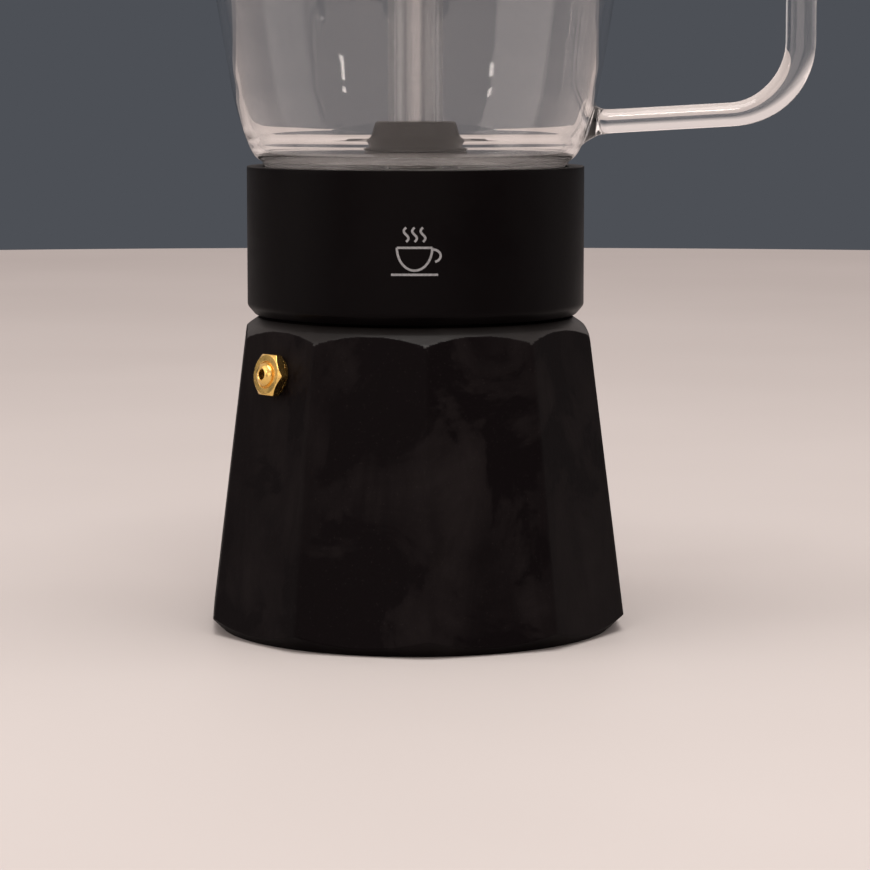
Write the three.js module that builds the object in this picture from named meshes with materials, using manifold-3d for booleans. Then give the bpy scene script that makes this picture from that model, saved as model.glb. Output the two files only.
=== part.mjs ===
// A six-cup stove-top moka pot with a glass jug, in millimetres.
// +Z is up, +X points to the jug's handle, and the origin is the centre of the boiler's flat foot.
import * as THREE from "three";
import { mergeVertices } from "three/addons/utils/BufferGeometryUtils.js";
import Module from "manifold-3d";

const wasm = await Module();
wasm.setup();

// Fineness of round shapes
const ROUND = 40; // segments of the large turned parts, a multiple of the boiler's sides
const SMALL_ROUND = 16; // segments of the small turned parts
const MID_ROUND = 24; // segments of the parts in between
const THREAD_STEPS = 30; // steps in one turn of a thread

// Clearances
const GAP = 0.3; // between neighbours that the real object holds face to face
const OVERSHOOT = 1; // how far a cutting tool runs past the face it cuts

// Boiler: a ten-sided tapering pot with a rounded shoulder and a round threaded neck
const SIDES = 10;
const CORNER_TURN = 3.4; // degrees anticlockwise from -Y to the nearest corner
const CORNER_RADIUS = 54.07; // corner radius at the foot, before its edge is chamfered
const CORNER_DRAFT = 0.1293; // corner radius lost in each millimetre of height
const FOOT_RADIUS = 49.2;
const FOOT_EDGE_HEIGHT = 4.6; // height where the foot's chamfer would reach CORNER_RADIUS
const SHOULDER_START = new THREE.Vector2(45, 71.65);
const SHOULDER_CROWN = new THREE.Vector2(44.6, 74.95);
const SHOULDER_TOP = new THREE.Vector2(39.3, 77.7);
const FLOOR_THICKNESS = 4;
const NECK_TOP = 86;
const NECK_BORE = 32.6;
const NECK_ROOT = 35;

// Screw thread between the boiler's neck and the collar, right-handed
const PITCH = 3.2;
const THREAD_TURNS = 2;
const THREAD_DEPTH = 0.9;
const MALE_START = 78.4;
const FEMALE_START = 79.9;
const COLLAR_ROOT = 37.3; // radius of the collar's bore, behind its thread

// Safety valve, in the middle of one facet, square to it
const VALVE_AZIMUTH = 219.4; // degrees from +X
const VALVE_HEIGHT = 65.3;
const VALVE_BORE = 4.2;
const VALVE_SHANK = 3.9;
const HEX_ACROSS_FLATS = 9.9;
const HEX_BACK = 1.1; // along the valve's axis, from the facet
const HEX_FRONT = 3.4;
const NOSE_LENGTH = 1.4;
const NOSE_RADIUS = 2.9;
const SHANK_END = -8;
const SPRING_ROOM_RADIUS = 2.7;
const SPRING_ROOM_END = 2;
const VENT_RADIUS = 1.2;
const BALL_RADIUS = 2;
const BALL_CENTRE = -4.7;
const SPRING_START = -3.1;
const SPRING_STOP = 1.7;
const SPRING_RADIUS = 1.95;
const SPRING_TURNS = 4.5;
const SPRING_WIRE = 0.25;

// Funnel: a flanged coffee basket on a long stem
const RIM_RADIUS = 34.5;
const RIM_THICKNESS = 1.2;
const BASKET_RADIUS = 32;
const BASKET_BORE = 31;
const BASKET_FOOT = 62;
const STEM_RADIUS = 4.5;
const STEM_BORE = 3.5;
const STEM_TOP = 47;
const STEM_FOOT = 10;

// Sieves: the basket's floor and the plate under the collar
const BASKET_SIEVE_RADIUS = BASKET_BORE - GAP;
const BASKET_SIEVE_BASE = 64.3;
const BASKET_SIEVE_THICKNESS = 0.8;
const SIEVE_RINGS = 3;
const HOLES_IN_FIRST_RING = 6;
const HOLE_RADIUS = 0.9;
const HOLE_SIDES = 6;

// Stack under the collar's web
const GASKET_BASE = 87.5;
const GASKET_THICKNESS = 3;
const GASKET_RADIUS = 35;
const GASKET_BORE = 28.5;
const FILTER_BASE = 90.8;
const FILTER_THICKNESS = 1.2;
const FILTER_RADIUS = 34.8;

// Collar: a straight round sleeve that holds the jug and screws onto the neck
const COLLAR_FOOT = 78.5;
const COLLAR_TOP = 115.2;
const COLLAR_RADIUS = 42;
const SEAL_CHAMBER = 35.4;
const WEB_EDGE = 92.3;
const WEB_CENTRE = 97;
const WEB_THICKNESS = 3.5;
const BOLT_HOLE = 7.2;
const JUG_SEAT = 113.8; // height of the ledge that the jug's foot rests on
const RECESS_RADIUS = 37.9;

// Clamp up the middle of the jug's floor
const SEAT_WASHER_THICKNESS = 0.7;
const BOLT_RADIUS = 6.6;
const BOLT_BORE = 4;
const BOLT_TOP = 121;
const HUB_BASE = 118.9;
const HUB_TOP = 126.4;
const RISER_RADIUS = 6.9;
const RISER_BORE = 5;
const RISER_FOOT = 122.4;
const RISER_TOP = 174;
const CAP_TOP = 184;
const OUTLET_WIDTH = 5;
const OUTLET_HEIGHT = 5;

// Jug: blown glass, wider towards the rim, with a spout opposite the handle
const JUG_FOOT = 114.8;
const JUG_RIM = 193.2;
const GLASS = 2.2;
const SPOUT_REACH = 7;
const SPOUT_START = 150; // height where the wall starts to lean out into the spout
const SPOUT_SPREAD = 0.55; // radians either side of -X

// Jug's handle: a bent glass rod
const GRIP_RADIUS = 3.75;
const ARM_RADIUS = 2.95;
const LOWER_ARM_START = new THREE.Vector3(41, 0, 125.8);
const LOWER_BEND = new THREE.Vector3(95.6, 0, 129.1);
const UPPER_BEND = new THREE.Vector3(95.6, 0, 183);
const UPPER_ARM_END = new THREE.Vector3(50, 0, 180.2);
const BEND = 18;
const HANDLE_STEPS = 36;
const HANDLE_SIDES = 12;

// Lid, with its seal and knob
const LID_BASE = 193.6;
const LID_RADIUS = 54.5;
const LID_CROWN = 199;
const LID_HOLE = 2.3;
const SKIRT_RADIUS = 49.8;
const KNOB_TOP = 214;
const KNOB_RADIUS = 11;
const INSERT_RADIUS = 3.2;
const SCREW_RADIUS = 1.8;

// Colours
const MATT_BLACK = { color: 0x1a1817, roughness: 0.6, metalness: 0.4 };
const BLACK_PLASTIC = { color: 0x1d1a19, roughness: 0.35, metalness: 0 };
const BRASS = { color: 0xc79a45, roughness: 0.3, metalness: 1 };
const BARE_ALUMINIUM = { color: 0xb9b9b6, roughness: 0.45, metalness: 1 };
const STEEL = { color: 0xa8a8a8, roughness: 0.3, metalness: 1 };
const CLEAR_GLASS = { color: 0xdfe6e8, roughness: 0.03, metalness: 0 };
const SILICONE = { color: 0xd8d2c8, roughness: 0.7, metalness: 0 };

const degrees = THREE.MathUtils.degToRad;

// ---- Geometry helpers ----

function solidFrom(geometry) {
  const bare = geometry.clone();
  bare.deleteAttribute("normal");
  bare.deleteAttribute("uv");
  const merged = mergeVertices(bare, 1e-4);
  return new wasm.Manifold(
    new wasm.Mesh({
      numProp: 3,
      vertProperties: merged.attributes.position.array,
      triVerts: new Uint32Array(merged.index.array),
    }),
  );
}

function geometryFrom(solid) {
  const mesh = solid.getMesh();
  const geometry = new THREE.BufferGeometry();
  geometry.setAttribute("position", new THREE.BufferAttribute(mesh.vertProperties, 3));
  geometry.setIndex(new THREE.BufferAttribute(mesh.triVerts, 1));
  return geometry;
}

// Turns an outline of [radius, height] pairs about Z. It closes on itself, or runs from axis to axis.
function turned(outline, segments = ROUND) {
  const points = outline.map((p) => (Array.isArray(p) ? new THREE.Vector2(...p) : p.clone()));
  if (THREE.ShapeUtils.area(points) < 0) points.reverse();
  const meetsAxis = points[0].x === 0 && points.at(-1).x === 0;
  if (!meetsAxis) points.push(points[0].clone());
  return new THREE.LatheGeometry(points, segments).rotateX(Math.PI / 2);
}

function ring(inner, outer, base, top, segments = ROUND) {
  return turned([[inner, base], [outer, base], [outer, top], [inner, top]], segments);
}

function disc(radius, base, top, segments = ROUND) {
  return turned([[0, base], [radius, base], [radius, top], [0, top]], segments);
}

// Closes a row of equal rings of points into one skin with flat ends.
function lofted(rings) {
  const count = rings[0].length;
  const positions = rings.flat().flatMap((p) => [p.x, p.y, p.z]);
  const faces = [];
  for (let i = 0; i + 1 < rings.length; i++) {
    for (let k = 0; k < count; k++) {
      const here = i * count + k;
      const beside = i * count + ((k + 1) % count);
      faces.push(here, beside, beside + count, here, beside + count, here + count);
    }
  }
  const last = (rings.length - 1) * count;
  for (let k = 1; k + 1 < count; k++) {
    faces.push(0, k + 1, k);
    faces.push(last, last + k, last + k + 1);
  }
  const geometry = new THREE.BufferGeometry();
  geometry.setAttribute("position", new THREE.Float32BufferAttribute(positions, 3));
  geometry.setIndex(faces);
  return geometry;
}

// One helical ridge, rooted inside its wall and fading into it at both ends.
// side is 1 for a ridge that stands out from the wall and -1 for one that stands in.
function threadRidge(wallRadius, side, start) {
  const buried = wallRadius - side * 0.5;
  const steps = Math.round(THREAD_TURNS * THREAD_STEPS);
  const fadeSteps = THREAD_STEPS / 6;
  const rings = [];
  for (let i = 0; i <= steps; i++) {
    const angle = (i / THREAD_STEPS) * 2 * Math.PI;
    const height = start + (i / THREAD_STEPS) * PITCH;
    const fade = Math.min(1, i / fadeSteps, (steps - i) / fadeSteps);
    const crest = wallRadius + side * (fade * (THREAD_DEPTH + 0.2) - 0.2);
    const corners = [[buried, -1.2], [crest, -0.35], [crest, 0.35], [buried, 1.2]];
    if (side > 0) corners.reverse();
    rings.push(
      corners.map(
        ([r, dz]) => new THREE.Vector3(r * Math.cos(angle), r * Math.sin(angle), height + dz),
      ),
    );
  }
  return lofted(rings);
}

// Straight rod with a round section along a curve.
function rodAlong(curve, radius, steps, sides) {
  const section = new THREE.Shape(
    Array.from({ length: sides }, (_, k) => {
      const angle = (k / sides) * 2 * Math.PI;
      return new THREE.Vector2(radius * Math.cos(angle), radius * Math.sin(angle));
    }),
  );
  return new THREE.ExtrudeGeometry(section, { steps, bevelEnabled: false, extrudePath: curve });
}

// Round plate with rings of holes, each ring with six more holes than the one inside it.
function sieve(radius, thickness, base) {
  const plate = new THREE.Shape();
  plate.absarc(0, 0, radius, 0, 2 * Math.PI);
  const addHole = (x, y) => {
    const hole = new THREE.Path();
    for (let k = 0; k <= HOLE_SIDES; k++) {
      const angle = (k / HOLE_SIDES) * 2 * Math.PI;
      const corner = [x + HOLE_RADIUS * Math.cos(angle), y + HOLE_RADIUS * Math.sin(angle)];
      if (k === 0) hole.moveTo(...corner);
      else hole.lineTo(...corner);
    }
    plate.holes.push(hole);
  };
  addHole(0, 0);
  for (let i = 1; i <= SIEVE_RINGS; i++) {
    const count = HOLES_IN_FIRST_RING * i;
    const distance = (radius * 0.8 * i) / SIEVE_RINGS;
    for (let k = 0; k < count; k++) {
      const angle = (k / count) * 2 * Math.PI;
      addHole(distance * Math.cos(angle), distance * Math.sin(angle));
    }
  }
  const geometry = new THREE.ExtrudeGeometry(plate, {
    depth: thickness,
    bevelEnabled: false,
    curveSegments: MID_ROUND,
  });
  return geometry.translate(0, 0, base);
}

function part(name, geometry, look) {
  const mesh = new THREE.Mesh(geometry, new THREE.MeshStandardMaterial(look));
  mesh.name = name;
  return mesh;
}

// ---- Safety valve ----

// Frame of the valve: +Z leaves the facet, +Y climbs it and +X runs level along it.
function valveFrame() {
  const facetDraft = CORNER_DRAFT * Math.cos(Math.PI / SIDES);
  const reach = CORNER_RADIUS * Math.cos(Math.PI / SIDES) - facetDraft * VALVE_HEIGHT;
  const azimuth = degrees(VALVE_AZIMUTH);
  const out = new THREE.Vector3(Math.cos(azimuth), Math.sin(azimuth), facetDraft).normalize();
  const level = new THREE.Vector3(-Math.sin(azimuth), Math.cos(azimuth), 0);
  const climb = new THREE.Vector3().crossVectors(out, level);
  return new THREE.Matrix4()
    .makeBasis(level, climb, out)
    .setPosition(reach * Math.cos(azimuth), reach * Math.sin(azimuth), VALVE_HEIGHT);
}

function valveBody() {
  const hexCorner = HEX_ACROSS_FLATS / 2 / Math.cos(Math.PI / 6);
  const hexLength = HEX_FRONT - HEX_BACK;
  const hexagon = new THREE.CylinderGeometry(hexCorner, hexCorner, hexLength, 6, 1, false, Math.PI / 6)
    .rotateX(Math.PI / 2)
    .translate(0, 0, HEX_BACK + hexLength / 2);
  const roundedFront = turned(
    [
      [0, HEX_BACK - OVERSHOOT],
      [hexCorner + OVERSHOOT, HEX_BACK - OVERSHOOT],
      [hexCorner + OVERSHOOT, HEX_FRONT - 1.6],
      [hexCorner, HEX_FRONT - 0.8],
      [HEX_ACROSS_FLATS / 2 - 0.2, HEX_FRONT],
      [0, HEX_FRONT],
    ],
    SMALL_ROUND,
  );
  const shankAndNose = turned(
    [
      [0, SHANK_END],
      [VALVE_SHANK - 0.4, SHANK_END],
      [VALVE_SHANK, SHANK_END + 0.6],
      [VALVE_SHANK, HEX_BACK + 0.5],
      [NOSE_RADIUS, HEX_BACK + 0.6],
      [NOSE_RADIUS, HEX_FRONT + 0.4],
      [NOSE_RADIUS - 0.3, HEX_FRONT + 0.9],
      [NOSE_RADIUS - 1, HEX_FRONT + NOSE_LENGTH - 0.1],
      [NOSE_RADIUS - 1.4, HEX_FRONT + NOSE_LENGTH],
      [0, HEX_FRONT + NOSE_LENGTH],
    ],
    SMALL_ROUND,
  );
  const springRoom = turned(
    [
      [0, SHANK_END - OVERSHOOT],
      [SPRING_ROOM_RADIUS, SHANK_END - OVERSHOOT],
      [SPRING_ROOM_RADIUS, SPRING_ROOM_END],
      [VENT_RADIUS, SPRING_ROOM_END + 0.8],
      [VENT_RADIUS, HEX_FRONT + NOSE_LENGTH + OVERSHOOT],
      [0, HEX_FRONT + NOSE_LENGTH + OVERSHOOT],
    ],
    SMALL_ROUND,
  );
  return geometryFrom(
    solidFrom(hexagon)
      .intersect(solidFrom(roundedFront))
      .add(solidFrom(shankAndNose))
      .subtract(solidFrom(springRoom)),
  );
}

function valveSeat() {
  const plugRadius = SPRING_ROOM_RADIUS - GAP;
  return turned(
    [
      [1, SHANK_END],
      [plugRadius, SHANK_END],
      [plugRadius, SHANK_END + 1.5],
      [1.5, SHANK_END + 1.5],
      [1, SHANK_END + 1],
    ],
    SMALL_ROUND,
  );
}

function valveSpring() {
  class Helix extends THREE.Curve {
    getPoint(t, target = new THREE.Vector3()) {
      const angle = t * SPRING_TURNS * 2 * Math.PI;
      const height = SPRING_START + t * (SPRING_STOP - SPRING_START);
      return target.set(SPRING_RADIUS * Math.cos(angle), SPRING_RADIUS * Math.sin(angle), height);
    }
  }
  return rodAlong(new Helix(), SPRING_WIRE, 45, 5);
}

function valve() {
  const group = new THREE.Group();
  group.add(
    part("valve_washer", ring(VALVE_BORE, 5, GAP, HEX_BACK - GAP, SMALL_ROUND), BRASS),
    part("valve_body", valveBody(), BRASS),
    part("valve_seat", valveSeat(), BRASS),
    part(
      "valve_ball",
      new THREE.SphereGeometry(BALL_RADIUS, 16, 10).rotateX(Math.PI / 2).translate(0, 0, BALL_CENTRE),
      STEEL,
    ),
    part("valve_spring", valveSpring(), STEEL),
  );
  group.applyMatrix4(valveFrame());
  return group;
}

// ---- Boiler ----

function boiler() {
  const blankTop = SHOULDER_TOP.y + OVERSHOOT;
  const blankTopRadius = CORNER_RADIUS - CORNER_DRAFT * blankTop;
  const frustum = new THREE.CylinderGeometry(blankTopRadius, CORNER_RADIUS, blankTop, SIDES)
    .rotateX(Math.PI / 2)
    .rotateZ(degrees(CORNER_TURN))
    .translate(0, 0, blankTop / 2);
  const shoulder = new THREE.QuadraticBezierCurve(SHOULDER_START, SHOULDER_CROWN, SHOULDER_TOP);
  const envelope = turned([
    [0, 0],
    [FOOT_RADIUS, 0],
    [CORNER_RADIUS, FOOT_EDGE_HEIGHT],
    ...shoulder.getPoints(6),
    [0, SHOULDER_TOP.y],
  ]);
  const neck = ring(NECK_BORE - OVERSHOOT, NECK_ROOT, SHOULDER_TOP.y - OVERSHOOT, NECK_TOP);
  const hollow = turned([
    [0, FLOOR_THICKNESS],
    [45, FLOOR_THICKNESS],
    [46.6, FLOOR_THICKNESS + 0.7],
    [47.2, FLOOR_THICKNESS + 2.4],
    [38.6, VALVE_HEIGHT],
    [37.4, 71],
    [NECK_BORE, SHOULDER_TOP.y],
    [NECK_BORE, NECK_TOP + OVERSHOOT],
    [0, NECK_TOP + OVERSHOOT],
  ]);
  const valveHole = disc(VALVE_BORE, -12, 3, SMALL_ROUND).applyMatrix4(valveFrame());
  return geometryFrom(
    solidFrom(frustum)
      .intersect(solidFrom(envelope))
      .add(solidFrom(neck))
      .add(solidFrom(threadRidge(NECK_ROOT, 1, MALE_START)))
      .subtract(solidFrom(hollow))
      .subtract(solidFrom(valveHole)),
  );
}

// ---- Coffee basket and seal stack ----

function funnel() {
  return turned([
    [STEM_BORE, STEM_FOOT],
    [STEM_RADIUS, STEM_FOOT],
    [STEM_RADIUS, STEM_TOP],
    [BASKET_RADIUS - 1.5, BASKET_FOOT - 1.5],
    [BASKET_RADIUS, BASKET_FOOT],
    [BASKET_RADIUS, NECK_TOP + GAP],
    [RIM_RADIUS, NECK_TOP + GAP],
    [RIM_RADIUS, NECK_TOP + RIM_THICKNESS],
    [BASKET_BORE, NECK_TOP + RIM_THICKNESS],
    [BASKET_BORE, BASKET_SIEVE_BASE - GAP],
    [BASKET_BORE - 2, BASKET_SIEVE_BASE - GAP],
    [BASKET_BORE - 3, BASKET_FOOT - 1],
    [STEM_BORE, STEM_TOP + 1],
  ]);
}

// ---- Collar ----

function collar() {
  const webTop = WEB_EDGE + WEB_THICKNESS;
  const body = turned([
    [COLLAR_ROOT + 0.5, COLLAR_FOOT],
    [COLLAR_RADIUS - 2.2, COLLAR_FOOT],
    [COLLAR_RADIUS - 0.8, COLLAR_FOOT + 0.8],
    [COLLAR_RADIUS, COLLAR_FOOT + 2.4],
    [COLLAR_RADIUS, COLLAR_TOP - 0.3],
    [COLLAR_RADIUS - 0.3, COLLAR_TOP],
    [RECESS_RADIUS, COLLAR_TOP],
    [RECESS_RADIUS, JUG_SEAT],
    [31, JUG_SEAT],
    [31, webTop + 4],
    [29.5, webTop + 2.5],
    [11.5, webTop + 5],
    [11.5, JUG_SEAT],
    [BOLT_HOLE, JUG_SEAT],
    [BOLT_HOLE, WEB_CENTRE],
    [13, WEB_CENTRE],
    [33.4, WEB_EDGE],
    [SEAL_CHAMBER, WEB_EDGE],
    [SEAL_CHAMBER, NECK_TOP + 0.6],
    [COLLAR_ROOT, NECK_TOP - 0.2],
    [COLLAR_ROOT, COLLAR_FOOT + 0.6],
  ]);
  const thread = threadRidge(COLLAR_ROOT, -1, FEMALE_START);
  return geometryFrom(solidFrom(body).add(solidFrom(thread)));
}

// ---- Jug and its clamp ----

const JUG_OUTSIDE = [
  [37.2, JUG_FOOT],
  [37.5, COLLAR_TOP],
  [38, COLLAR_TOP + 0.3],
  [38.1, 116.35],
  [39.9, 117.6],
  [41, 119.4],
  [41.8, 121],
  [43.3, 125.3],
  [45, 131.5],
  [46.1, 137.3],
  [47.3, 144],
  [49.1, 155.7],
  [51.2, 170],
  [53, 183],
  [54.3, JUG_RIM - 0.9],
];

// The wall leans out smoothly towards the lip of the spout.
function pourSpout(geometry) {
  const places = geometry.attributes.position;
  const place = new THREE.Vector3();
  for (let i = 0; i < places.count; i++) {
    place.fromBufferAttribute(places, i);
    const aside = Math.abs(Math.atan2(place.y, -place.x)) / SPOUT_SPREAD;
    const rise = THREE.MathUtils.clamp((place.z - SPOUT_START) / (JUG_RIM - SPOUT_START), 0, 1);
    if (aside >= 1 || rise === 0) continue;
    const lean = SPOUT_REACH * rise * rise * 0.5 * (1 + Math.cos(Math.PI * aside));
    places.setX(i, place.x - lean);
  }
  return geometry;
}

function jug() {
  const inside = JUG_OUTSIDE.filter(([, z]) => z > 124).map(([r, z]) => [r - GLASS, z]);
  const outline = [
    [30.5, JUG_FOOT],
    ...JUG_OUTSIDE,
    [53.3, JUG_RIM],
    ...inside.reverse(),
    [39.1, 120.4],
    [38.1, 119],
    [36.9, 118.3],
    [34.6, HUB_BASE - 0.8],
    [BOLT_HOLE, HUB_BASE - 0.8],
    [BOLT_HOLE, 115.8],
    [29, 115.8],
  ];
  return pourSpout(turned(outline));
}

// Path of the handle: three straight runs joined by two rounded corners.
function handlePath() {
  const corners = [LOWER_ARM_START, LOWER_BEND, UPPER_BEND, UPPER_ARM_END];
  const path = new THREE.CurvePath();
  let from = LOWER_ARM_START;
  for (const i of [1, 2]) {
    const into = corners[i].clone().add(corners[i - 1].clone().sub(corners[i]).setLength(BEND));
    const away = corners[i].clone().add(corners[i + 1].clone().sub(corners[i]).setLength(BEND));
    path.add(new THREE.LineCurve3(from, into));
    path.add(new THREE.QuadraticBezierCurve3(into, corners[i], away));
    from = away;
  }
  path.add(new THREE.LineCurve3(from, UPPER_ARM_END));
  return path;
}

// Round glass rod, thicker along the grip than along the arms.
function handleRod() {
  const path = handlePath();
  const across = new THREE.Vector3(0, 1, 0);
  const rings = [];
  for (let i = 0; i <= HANDLE_STEPS; i++) {
    const centre = path.getPointAt(i / HANDLE_STEPS);
    const outward = across.clone().cross(path.getTangentAt(i / HANDLE_STEPS));
    const grip = THREE.MathUtils.smoothstep(centre.x, LOWER_BEND.x - BEND, LOWER_BEND.x);
    const radius = THREE.MathUtils.lerp(ARM_RADIUS, GRIP_RADIUS, grip);
    const ringPoint = (_, k) => {
      const angle = (k / HANDLE_SIDES) * 2 * Math.PI;
      return centre
        .clone()
        .addScaledVector(outward, radius * Math.cos(angle))
        .addScaledVector(across, radius * Math.sin(angle));
    };
    rings.push(Array.from({ length: HANDLE_SIDES }, ringPoint));
  }
  return lofted(rings);
}

// The rod stops just short of the wall that it is welded to.
function handle() {
  const wall = JUG_OUTSIDE.map(([r, z]) => [r + GAP, z]);
  const jugBlank = turned([[0, JUG_FOOT], ...wall, [0, JUG_RIM]]);
  return geometryFrom(solidFrom(handleRod()).subtract(solidFrom(jugBlank)));
}

function hollowBolt() {
  return turned(
    [
      [BOLT_BORE, WEB_CENTRE - 3],
      [11, WEB_CENTRE - 3],
      [12, WEB_CENTRE - 2],
      [12, WEB_CENTRE - 1],
      [BOLT_RADIUS, WEB_CENTRE - 1],
      [BOLT_RADIUS, BOLT_TOP],
      [BOLT_BORE, BOLT_TOP],
    ],
    MID_ROUND,
  );
}

function hubNut() {
  return turned([
    [BOLT_HOLE, HUB_BASE],
    [13, HUB_BASE],
    [12.9, HUB_BASE + 0.6],
    [12.2, HUB_BASE + 1.1],
    [11.3, HUB_BASE + 1.6],
    [10.3, HUB_TOP - 1.5],
    [9.9, HUB_TOP - 0.4],
    [9.3, HUB_TOP],
    [BOLT_HOLE, HUB_TOP],
  ]);
}

function riserCap() {
  const crown = turned(
    [
      [0, CAP_TOP],
      [5.5, CAP_TOP - 0.6],
      [8.2, CAP_TOP - 2.6],
      [8.6, CAP_TOP - 4.5],
      [8.6, RISER_TOP - 5],
      [BOLT_HOLE, RISER_TOP - 5],
      [BOLT_HOLE, CAP_TOP - 4.5],
      [5, CAP_TOP - 2.2],
      [0, CAP_TOP - 2.2],
    ],
    MID_ROUND,
  );
  const outlet = new THREE.BoxGeometry(30, OUTLET_WIDTH, OUTLET_HEIGHT);
  outlet.translate(0, 0, RISER_TOP + GAP + OUTLET_HEIGHT / 2);
  let cap = solidFrom(crown);
  for (const turn of [0, Math.PI / 2]) {
    cap = cap.subtract(solidFrom(outlet.clone().rotateZ(turn)));
  }
  return geometryFrom(cap);
}

// ---- Lid ----

function lidCover() {
  return turned([
    [LID_HOLE, 196.6],
    [9, 196.6],
    [SKIRT_RADIUS - 2.2, 194.2],
    [SKIRT_RADIUS - 2.2, 187.4],
    [SKIRT_RADIUS, 187.4],
    [SKIRT_RADIUS, LID_BASE],
    [LID_RADIUS, LID_BASE],
    [LID_RADIUS, LID_BASE + 1.4],
    [LID_RADIUS - 1, LID_BASE + 2.2],
    [30, 197.4],
    [11, LID_CROWN - 0.4],
    [9, LID_CROWN],
    [LID_HOLE, LID_CROWN],
  ]);
}

function lidKnob() {
  const base = LID_CROWN + GAP;
  const room = INSERT_RADIUS + GAP;
  return turned(
    [
      [0, KNOB_TOP],
      [6, KNOB_TOP - 0.3],
      [9.4, KNOB_TOP - 1.6],
      [KNOB_RADIUS, KNOB_TOP - 4],
      [10.4, KNOB_TOP - 6.2],
      [7.4, KNOB_TOP - 9.5],
      [7, base + 2.5],
      [8.4, base],
      [room, base],
      [room, base + 8.5],
      [0, base + 8.5],
    ],
    MID_ROUND,
  );
}

function lidScrew() {
  const headTop = 196.6 - GAP;
  return turned(
    [
      [0, headTop - 2.2],
      [2.6, headTop - 2],
      [3.6, headTop - 0.8],
      [3.6, headTop],
      [SCREW_RADIUS, headTop],
      [SCREW_RADIUS, LID_CROWN + 7],
      [0, LID_CROWN + 7.6],
    ],
    SMALL_ROUND,
  );
}

// ---- Assembly ----

const insertBase = LID_CROWN + GAP;
const boltWasherTop = WEB_CENTRE - GAP;
const pot = new THREE.Group();
pot.add(
  part("boiler", boiler(), MATT_BLACK),
  valve(),
  part("funnel_body", funnel(), BARE_ALUMINIUM),
  part(
    "funnel_plate",
    sieve(BASKET_SIEVE_RADIUS, BASKET_SIEVE_THICKNESS, BASKET_SIEVE_BASE),
    BARE_ALUMINIUM,
  ),
  part(
    "gasket",
    ring(GASKET_BORE, GASKET_RADIUS, GASKET_BASE, GASKET_BASE + GASKET_THICKNESS),
    SILICONE,
  ),
  part("filter_plate", sieve(FILTER_RADIUS, FILTER_THICKNESS, FILTER_BASE), BARE_ALUMINIUM),
  part("collar", collar(), MATT_BLACK),
  part("hollow_bolt", hollowBolt(), STEEL),
  part("bolt_washer", ring(BOLT_HOLE, 11.6, boltWasherTop - 0.5, boltWasherTop, MID_ROUND), SILICONE),
  part(
    "jug_seat_washer",
    ring(9, RECESS_RADIUS - 0.6, JUG_SEAT, JUG_SEAT + SEAT_WASHER_THICKNESS),
    SILICONE,
  ),
  part("glass_jug", jug(), CLEAR_GLASS),
  part("glass_handle", handle(), CLEAR_GLASS),
  part("hub_washer", ring(BOLT_HOLE, 12.6, HUB_BASE - 0.8, HUB_BASE), BLACK_PLASTIC),
  part("hub_nut", hubNut(), BLACK_PLASTIC),
  part("tube_seal", ring(BOLT_BORE + 0.3, 6.8, BOLT_TOP + GAP, RISER_FOOT, SMALL_ROUND), SILICONE),
  part("riser_tube", ring(RISER_BORE, RISER_RADIUS, RISER_FOOT, RISER_TOP, MID_ROUND), CLEAR_GLASS),
  part("riser_cap", riserCap(), BLACK_PLASTIC),
  part("lid_cover", lidCover(), MATT_BLACK),
  part("lid_seal", ring(SKIRT_RADIUS, 51.4, 189, 191), SILICONE),
  part("lid_knob", lidKnob(), BLACK_PLASTIC),
  part(
    "knob_insert",
    ring(SCREW_RADIUS + GAP, INSERT_RADIUS, insertBase, insertBase + 8, SMALL_ROUND),
    BRASS,
  ),
  part("lid_screw", lidScrew(), STEEL),
);

export default pot;
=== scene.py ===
"""Looks of the moka pot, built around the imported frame. +Z is up and +X points to the jug's handle.

Outlines and sizes below are in millimetres; meshes are made in metres. Heights and radii that the frame
holds are read from it, and the finer sizes are named here.
"""
import math

import bmesh
import bpy
import numpy as np
from mathutils import Matrix, Vector


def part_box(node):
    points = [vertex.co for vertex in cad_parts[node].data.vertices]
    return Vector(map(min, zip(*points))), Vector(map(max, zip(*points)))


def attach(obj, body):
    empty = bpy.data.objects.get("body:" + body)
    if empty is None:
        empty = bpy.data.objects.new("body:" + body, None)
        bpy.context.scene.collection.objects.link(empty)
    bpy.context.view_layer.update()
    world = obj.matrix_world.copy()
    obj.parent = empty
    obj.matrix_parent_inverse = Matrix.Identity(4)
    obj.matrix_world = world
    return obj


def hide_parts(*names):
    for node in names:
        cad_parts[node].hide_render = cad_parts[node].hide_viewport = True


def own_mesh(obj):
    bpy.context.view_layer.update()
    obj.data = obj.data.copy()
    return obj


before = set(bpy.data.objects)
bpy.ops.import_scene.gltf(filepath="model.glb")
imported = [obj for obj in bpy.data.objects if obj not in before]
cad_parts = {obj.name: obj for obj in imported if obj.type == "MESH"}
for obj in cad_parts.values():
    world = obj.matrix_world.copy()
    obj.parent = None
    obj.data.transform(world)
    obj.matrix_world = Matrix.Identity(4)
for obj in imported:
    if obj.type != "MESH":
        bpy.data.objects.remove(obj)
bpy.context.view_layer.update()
MM = 0.001


def node_mm(name):
    """Lowest and highest corner of a frame node, in millimetres."""
    low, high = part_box(name)
    return low / MM, high / MM


# ---- Sizes, in millimetres ----

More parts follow.
